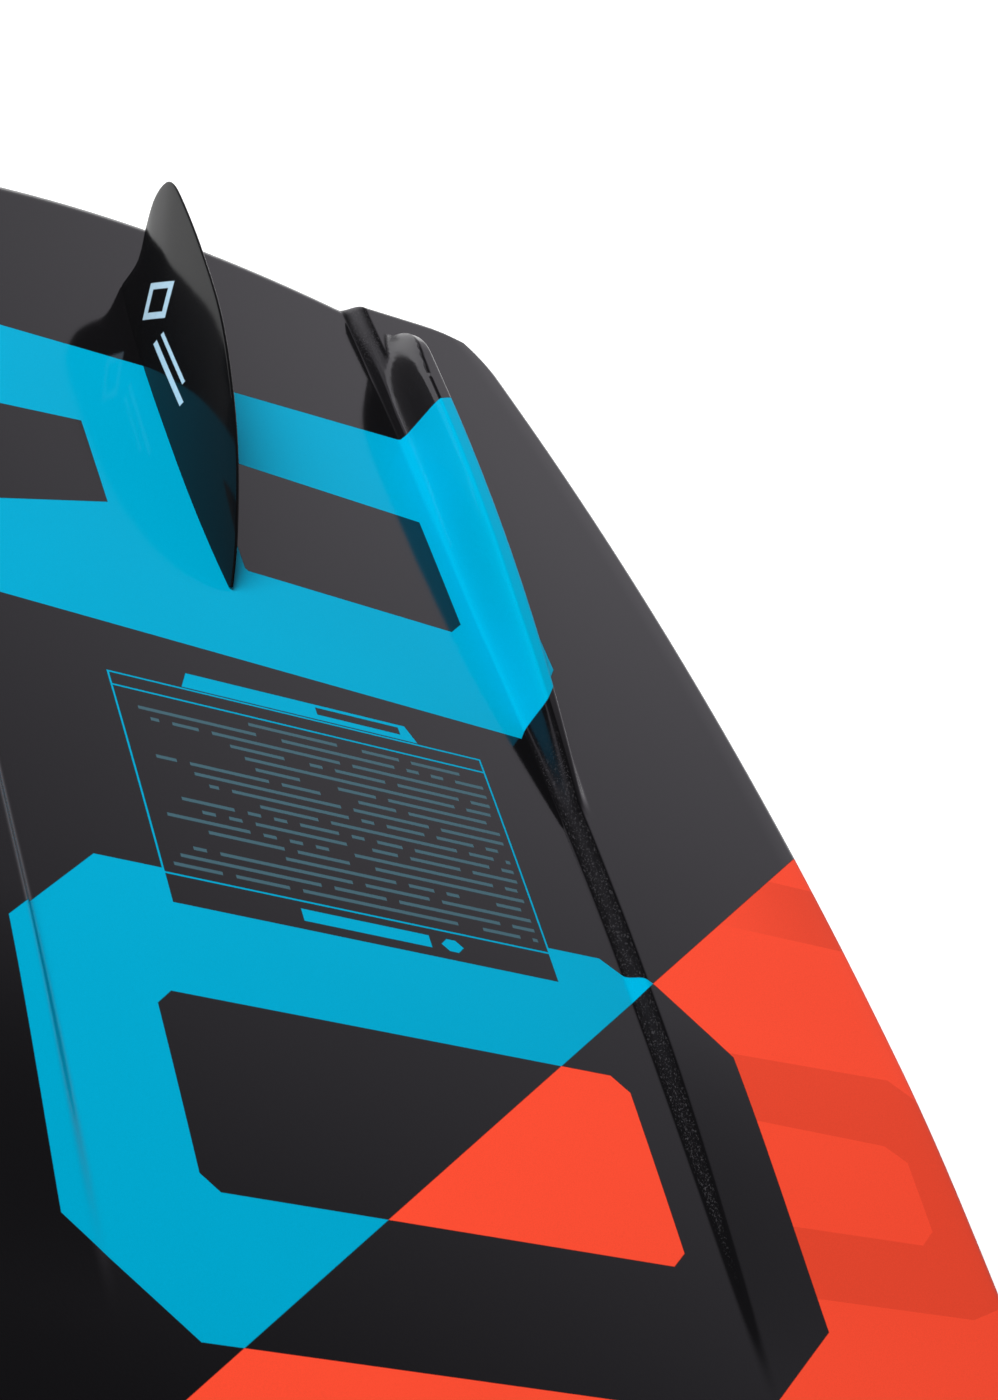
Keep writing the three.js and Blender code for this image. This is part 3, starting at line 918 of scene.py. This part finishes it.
def print_layout(g):
    """The base print: colour as a function of plan position, turned half round for the tail."""
    place_x, place_y, _ = g.parts(g.place)
    turn = g.math("SIGN", place_x)
    x = g.math("MULTIPLY", g.math("ABSOLUTE", place_x), 1 / MM)
    y = g.math("MULTIPLY", g.math("MULTIPLY", place_y, turn), 1 / MM)

    field = g.outside(g.inside(g.line(x, y, *FIELD_NORMAL, -FIELD_AT)))

    # darker frames in the orange, near the rail
    shade_ring = g.both(
        g.inside(g.polygon(x, y, SHADE_RING)),
        g.outside(g.inside(g.polygon(x, y, SHADE_RING_HOLE))),
    )
    shade_band = g.both(
        g.inside(g.box(x, y, *SHADE_BAND, 0)),
        g.math("MULTIPLY_ADD", y, -1 / SHADE_FADE, SHADE_BAND[1][1] / SHADE_FADE, clamp=True),
    )
    shade = g.math("MAXIMUM", shade_ring, shade_band)
    orange = g.mix(shade, ORANGE, tuple(c * ORANGE_SHADE for c in ORANGE[:3]) + (1,))
    colour = g.mix(field, orange, BLACK)

    # frame across the colour change, its colour swapped on each side
    ring = g.both(
        g.inside(g.polygon(x, y, RING)),
        g.outside(g.inside(g.box(x, y, *RING_HOLE, RING_HOLE_CHAMFER))),
    )
    colour = g.mix(ring, colour, g.mix(field, BLACK, BLUE))

    # frame round the centre fin, wrapped over both side fins, with two windows
    away = g.math("ABSOLUTE", y)
    frame_edge = g.most(
        g.math("SUBTRACT", x, FIN_FRAME_REAR),
        g.line(x, y, *FIN_FRAME_FRONT),
        g.line(away, x, *FIN_FRAME_SIDE),
        g.line(away, x, *FIN_FRAME_CORNER),
    )
    wrap = g.polygon(x, away, FIN_FRAME_WRAP)
    window_right = g.most(
        *(g.line(x, y, *edge) for edge in WINDOW_RIGHT_EDGES),
        g.box(x, y, *WINDOW_RIGHT_BOX, WINDOW_RIGHT_CHAMFER),
    )
    window_left = g.most(
        *(g.line(x, y, *edge) for edge in WINDOW_LEFT_EDGES),
        g.box(x, y, *WINDOW_LEFT_BOX, 0),
    )
    frame_mask = g.both(
        g.math("MAXIMUM", g.inside(frame_edge), g.inside(wrap)),
        g.outside(g.inside(window_right)),
        g.outside(g.inside(window_left)),
    )
    colour = g.mix(frame_mask, colour, BLUE)
    return x, y, colour


def card_print(g, x, y, colour):
    """A plain outlined card between the two frames, filled with rows of short bars."""
    card = g.box(x, y, *CARD, 0)
    colour = g.mix(g.inside(card), colour, BLACK)
    tab = g.most(
        g.box(x, y, *CARD_TAB, 0),
        *(g.line(y, x, *end) for end in CARD_TAB_ENDS),
    )
    header, footer = (
        g.stroke(g.math("SUBTRACT", x, at), CARD_RULE) for at in (CARD_HEADER, CARD_FOOTER)
    )
    lines = g.most(
        g.stroke(card, CARD_RULE),
        g.both(g.inside(card), g.math("MAXIMUM", header, footer)),
        g.both(g.inside(tab), g.outside(g.inside(g.box(x, y, *CARD_TAB_SLOT, 0)))),
    )
    colour = g.mix(lines, colour, BLUE)

    row_at = g.math("DIVIDE", g.math("SUBTRACT", x, BAR_START), BAR_PITCH)
    row = g.math("FLOOR", row_at)
    across_row = g.math("ABSOLUTE", g.math("SUBTRACT", g.math("FRACT", row_at), 0.5))
    shifted = g.math("MULTIPLY_ADD", row, BAR_SHIFT, y)
    word = g.math("FLOOR", g.math("DIVIDE", shifted, BAR_LENGTH))
    pair = g.new("ShaderNodeCombineXYZ")
    g.put(pair.inputs[0], word)
    g.put(pair.inputs[1], row)
    dice = g.new("ShaderNodeTexWhiteNoise", noise_dimensions="2D")
    g.put(dice.inputs["Vector"], pair.outputs[0])
    length = g.new("ShaderNodeTexWhiteNoise", noise_dimensions="1D")
    g.put(length.inputs["W"], g.math("ADD", row, 0.5))
    row_end = g.math("MULTIPLY_ADD", length.outputs["Value"], BAR_ROW_SPREAD, BAR_ROW_END)
    bars = g.both(
        g.inside(g.math("MULTIPLY", g.math("SUBTRACT", across_row, BAR_HALF), BAR_PITCH)),
        g.inside(g.box(x, y, *BAR_BOX, 0)),
        g.inside(g.math("SUBTRACT", y, row_end)),
        g.math("GREATER_THAN", dice.outputs["Value"], BAR_GAPS),
    )
    colour = g.mix(g.math("MULTIPLY", bars, BAR_STRENGTH), colour, BAR_COLOUR)
    title = g.math(
        "MAXIMUM",
        g.inside(g.box(x, y, *CARD_TITLE, 0)),
        g.inside(g.box(x, y, *CARD_TITLE_DOT, CARD_TITLE_CHAMFER)),
    )
    return g.mix(title, colour, BLUE)


def base_material():
    g = Graph("base_print")
    x, y, colour = print_layout(g)
    colour = card_print(g, x, y, colour)
    mottle = g.around(g.noise(9, 3), 1.0, 0.10)
    grain = g.around(g.noise(2600, 1), 1.0, 0.16)
    colour = g.scaled(colour, g.math("MULTIPLY", mottle, grain))
    g.bump(g.noise(1400, 2), 0.00002, 0.35)
    saturation = g.tint_gloss(colour)
    inked = g.math("SUBTRACT", saturation, INK_FROM, clamp=True)
    g.dull(colour, g.math("MULTIPLY", inked, INK_DULL))
    # the step walls come rougher and speckled from the mould, except along the fins
    upright = g.parts(g.new("ShaderNodeTexCoord").outputs["Normal"])["Z"]
    wall = g.both(
        g.math("MULTIPLY_ADD", upright, -WALL_GRADE, WALL_UPRIGHT * WALL_GRADE, clamp=True),
        g.outside(g.inside(g.box(x, y, *WALL_SKIP, 0), WALL_FADE)),
        g.outside(saturation),
    )
    speckle = g.math("GREATER_THAN", g.noise(1700, 2), WALL_SPECKLE)
    colour = g.mix(g.both(wall, speckle), colour, BLACK_SPECK)
    haze = g.around(g.noise(14, 4, 0.6), BASE_GLOSS, 0.03)
    return g.finish(colour, g.math("MULTIPLY_ADD", wall, WALL_ROUGH, haze))


MARK_AT = (616, 18)                 # x, and height over the base
MARK_SLOPE = 0.707                  # the diamond's sides run at 45 degrees
MARK_REACH = 7.2                    # from its middle to a side
MARK_LINE = 2.6
MARK_BARS = (((566, 8.6), (601, 10.8)), ((573, 13.4), (601, 15.0)))
FIN_ROCKER = 0.2                    # the rocker line is close to straight along a fin
FIN_ROCKER_AT = 600


def keel_material(end, end_name):
    """Glossy black plastic with a plain light mark on each flank."""
    g = Graph(f"fin_gloss_{end_name}")
    place_x, _, place_z = g.parts(g.place)
    x = g.math("MULTIPLY", place_x, end / MM)
    z = g.math("MULTIPLY_ADD", place_z, 1 / MM, -LIFT)
    rocker_start = drop(FIN_ROCKER_AT) - FIN_ROCKER * FIN_ROCKER_AT
    height = g.math("ADD", z, g.math("MULTIPLY_ADD", x, FIN_ROCKER, rocker_start))
    diamond = g.line(
        g.math("ABSOLUTE", g.math("SUBTRACT", x, MARK_AT[0])),
        g.math("ABSOLUTE", g.math("SUBTRACT", height, MARK_AT[1])),
        MARK_SLOPE,
        MARK_SLOPE,
        -MARK_REACH,
    )
    core = g.math("ADD", diamond, MARK_LINE)
    mark = g.most(
        g.both(g.inside(diamond), g.outside(g.inside(core))),
        *(g.inside(g.box(x, height, *bar, 0)) for bar in MARK_BARS),
    )
    colour = g.mix(mark, KEEL_BLACK, MARK_COLOUR)
    speck = g.around(g.noise(700, 2), 1.0, 0.2)
    g.bump(g.noise(90, 2), 0.00004, 0.25)
    return g.finish(g.scaled(colour, speck), g.around(g.noise(20, 3), 0.10, 0.05), ior=KEEL_IOR)


DECK_BAND_HALF = 70
DECK_TRIM_AT = 84                   # thin blue stripes beside the band
DECK_TRIM_HALF = 3


def deck_material():
    """Charcoal deck with a fine grain, and an orange band with blue trim across the middle."""
    g = Graph("deck_finish")
    place_x, place_y, _ = g.parts(g.place)
    x = g.math("DIVIDE", place_x, MM)
    y = g.math("DIVIDE", place_y, MM)
    across = g.math("ABSOLUTE", g.line(x, y, FIELD_NORMAL[0], -FIELD_NORMAL[1], 0.0))
    band = g.inside(g.math("SUBTRACT", across, DECK_BAND_HALF))
    trim = g.stroke(g.math("SUBTRACT", across, DECK_TRIM_AT), DECK_TRIM_HALF)
    colour = g.mix(band, DECK_BLACK, ORANGE)
    colour = g.mix(trim, colour, BLUE)
    fibres = g.noise(900, 3, vector=g.stretched((0.08, 1, 1)))
    shade = g.math("MULTIPLY", g.around(fibres, 1.0, 0.3), g.around(g.noise(7), 1, 0.2))
    colour = g.scaled(colour, shade)
    g.bump(g.noise(1100, 3), 0.00005, 0.5)
    return g.finish(colour, g.around(fibres, 0.34, 0.12))


def metal_material(name, colour, roughness, brush):
    g = Graph(name)
    marks = g.noise(brush, 3, vector=g.stretched((1, 1, 8)))
    tint = g.scaled(colour, g.around(marks, 1.0, 0.35))
    g.bump(marks, 0.00002, 0.4)
    return g.finish(tint, g.around(g.noise(brush / 4), roughness, 0.15), 1.0)


def foam_material():
    g = Graph("foam_cells")
    cells = g.new("ShaderNodeTexVoronoi")
    g.put(cells.inputs["Vector"], g.place)
    cells.inputs["Scale"].default_value = 700
    shade = g.around(cells.outputs["Distance"], 0.95, 0.3)
    g.bump(cells.outputs["Distance"], 0.0002, 0.6)
    return g.finish(g.scaled((0.80, 0.73, 0.54, 1), shade), g.around(g.noise(300), 0.9, 0.1))


def plastic_material(name, colour, roughness, grain):
    g = Graph(name)
    shade = g.around(g.noise(grain, 3), 1.0, 0.25)
    g.bump(g.noise(grain * 2), 0.00004, 0.5)
    return g.finish(g.scaled(colour, shade), g.around(g.noise(grain / 3), roughness, 0.12))


def dress(piece, material):
    piece.data.materials.clear()
    piece.data.materials.append(material)


def stand_in(piece, node, material):
    """The piece rides with the board, takes the CAD node's place and gets its material."""
    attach(piece, "root")
    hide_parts(node)
    dress(piece, material)


STEEL = metal_material("steel_turned", (0.60, 0.61, 0.63, 1), 0.28, 700)
SCREW_STEEL = metal_material("steel_screw", (0.50, 0.51, 0.53, 1), 0.32, 900)

stand_in(base, "base_shell", base_material())
stand_in(deck, "deck_shell", deck_material())
for end, end_name, piece in keels:
    stand_in(piece, f"centre_fin_{end_name}", keel_material(end, end_name))
for name, piece in screws:
    stand_in(piece, f"fin_screw_{name}", SCREW_STEEL)
for name, piece in washers:
    stand_in(piece, f"fin_washer_{name}", SCREW_STEEL)
for name, piece in inserts:
    stand_in(piece, f"binding_insert_{name}", STEEL)

CAD_FINISHES = {
    "foam_core": foam_material(),
    "insert_block": plastic_material("block_laminate", (0.45, 0.36, 0.20, 1), 0.7, 260),
    "fin_sleeve": plastic_material("sleeve_moulded", (0.05, 0.055, 0.065, 1), 0.45, 400),
    "fin_nut": metal_material("brass_turned", (0.62, 0.42, 0.15, 1), 0.3, 800),
}
for node_name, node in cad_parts.items():
    for stem, finish in CAD_FINISHES.items():
        if node_name.startswith(stem):
            dress(node, finish)

# ---- floor, light and camera ----
FLOOR_HALF = 9
FLOOR_TOP = -0.0003
FLOOR_GLOW = 0.45
FLOOR_WHITE = (0.92, 0.92, 0.92, 1)


def pale_floor():
    data = bpy.data.meshes.new("floor")
    corners = [
        (sx * FLOOR_HALF, sy * FLOOR_HALF, FLOOR_TOP)
        for sx, sy in ((-1, -1), (1, -1), (1, 1), (-1, 1))
    ]
    data.from_pydata(corners, [], [(0, 1, 2, 3)])
    floor = bpy.data.objects.new("floor", data)
    bpy.context.scene.collection.objects.link(floor)
    g = Graph("floor_paper")
    g.bump(g.noise(60, 2), 0.0001, 0.1)
    g.shader.inputs["Emission Color"].default_value = (1, 1, 1, 1)
    g.shader.inputs["Emission Strength"].default_value = FLOOR_GLOW
    paper = g.scaled(FLOOR_WHITE, g.around(g.noise(3), 1.0, 0.02))
    dress(floor, g.finish(paper, 0.9))


# how pale the surroundings are: (height or heading, brightness), from 0 to 1
SKY_HEIGHT = ((0.0, 0.85), (0.34, 0.78), (0.45, 0.62), (0.57, 0.33), (0.68, 0.04), (1.0, 0.03))
SKY_HORIZON = ((0.0, 0.60), (0.17, 0.60), (0.27, 0.0))     # pale all round, low down
SKY_HEADING = ((0.0, 0.06), (0.60, 0.12), (0.80, 0.3), (0.94, 0.62), (0.99, 1.0))
SKY_PALE_SIDE = (math.sqrt(0.5), -math.sqrt(0.5), 0)
SKY_TINT = (1, 0.985, 1.01)


def soft_world():
    """Studio surroundings: pale low down beyond the right rail, dark overhead and behind."""
    world = bpy.data.worlds.new("studio")
    bpy.context.scene.world = world
    world.use_nodes = True
    nodes, links = world.node_tree.nodes, world.node_tree.links
    place = nodes.new("ShaderNodeTexCoord")
    split = nodes.new("ShaderNodeSeparateXYZ")
    links.new(place.outputs["Generated"], split.inputs[0])

    def ramp_of(socket, stops):
        shade = nodes.new("ShaderNodeValToRGB")
        links.new(socket, shade.inputs["Fac"])
        elements = shade.color_ramp.elements
        while len(elements) < len(stops):
            elements.new(0.5)
        for element, (at, value) in zip(elements, stops):
            element.position = at
            element.color = (*(value * tint for tint in SKY_TINT), 1)
        return shade.outputs["Color"]

    def combined(operation, first, second=None):
        node = nodes.new("ShaderNodeVectorMath")
        node.operation = operation
        links.new(first, node.inputs[0])
        if second is not None:
            links.new(second, node.inputs[1])
        return node

    level = nodes.new("ShaderNodeCombineXYZ")
    links.new(split.outputs["X"], level.inputs[0])
    links.new(split.outputs["Y"], level.inputs[1])
    heading = combined("NORMALIZE", level.outputs[0])
    towards = combined("DOT_PRODUCT", heading.outputs[0])
    towards.inputs[1].default_value = SKY_PALE_SIDE
    product = combined(
        "MULTIPLY",
        ramp_of(split.outputs["Z"], SKY_HEIGHT),
        ramp_of(towards.outputs["Value"], SKY_HEADING),
    )
    horizon = ramp_of(split.outputs["Z"], SKY_HORIZON)
    palest = combined("MAXIMUM", product.outputs[0], horizon)
    links.new(palest.outputs[0], nodes["Background"].inputs["Color"])
    nodes["Background"].inputs["Strength"].default_value = 1.0


def soft_box(name, place, aim, size, watts, mirrored):
    """A square lamp; mirrored says whether glossy surfaces reflect it."""
    light = bpy.data.lights.new(name, "AREA")
    light.shape = "RECTANGLE"
    light.size, light.size_y = size
    light.energy = watts
    lamp = bpy.data.objects.new(name, light)
    lamp.location = place
    lamp.rotation_mode = "QUATERNION"
    lamp.rotation_quaternion = (Vector(aim) - Vector(place)).to_track_quat("-Z", "Y")
    lamp.visible_glossy = mirrored
    bpy.context.scene.collection.objects.link(lamp)


SENSOR = 36
CAMERA_AT = (-0.32681, 0.60108, 0.80905)
CAMERA_RIGHT = Vector((-0.2024, -0.8192, 0.5365))
CAMERA_UP = Vector((0.7690, 0.2063, 0.6051))
LENS = 102.6


def set_camera():
    data = bpy.data.cameras.new("camera")
    data.sensor_width = SENSOR
    data.lens = LENS
    data.clip_start = 0.01
    camera = bpy.data.objects.new("camera", data)
    bpy.context.scene.collection.objects.link(camera)
    right = CAMERA_RIGHT.normalized()
    back = right.cross(CAMERA_UP).normalized()
    up = back.cross(right)
    turn = Matrix((right, up, back)).transposed()
    camera.matrix_world = Matrix.Translation(CAMERA_AT) @ turn.to_4x4()
    bpy.context.scene.camera = camera


pale_floor()
soft_world()
soft_box("key", (1.5, 1.5, 1.8), (0.4, 0, 0), size=(1.6, 1.6), watts=93, mirrored=False)
soft_box("fill", (-1.0, 1.2, 2.6), (0.2, 0, 0), size=(1.8, 1.8), watts=6, mirrored=True)
set_camera()
bpy.context.scene.view_settings.view_transform = "Standard"
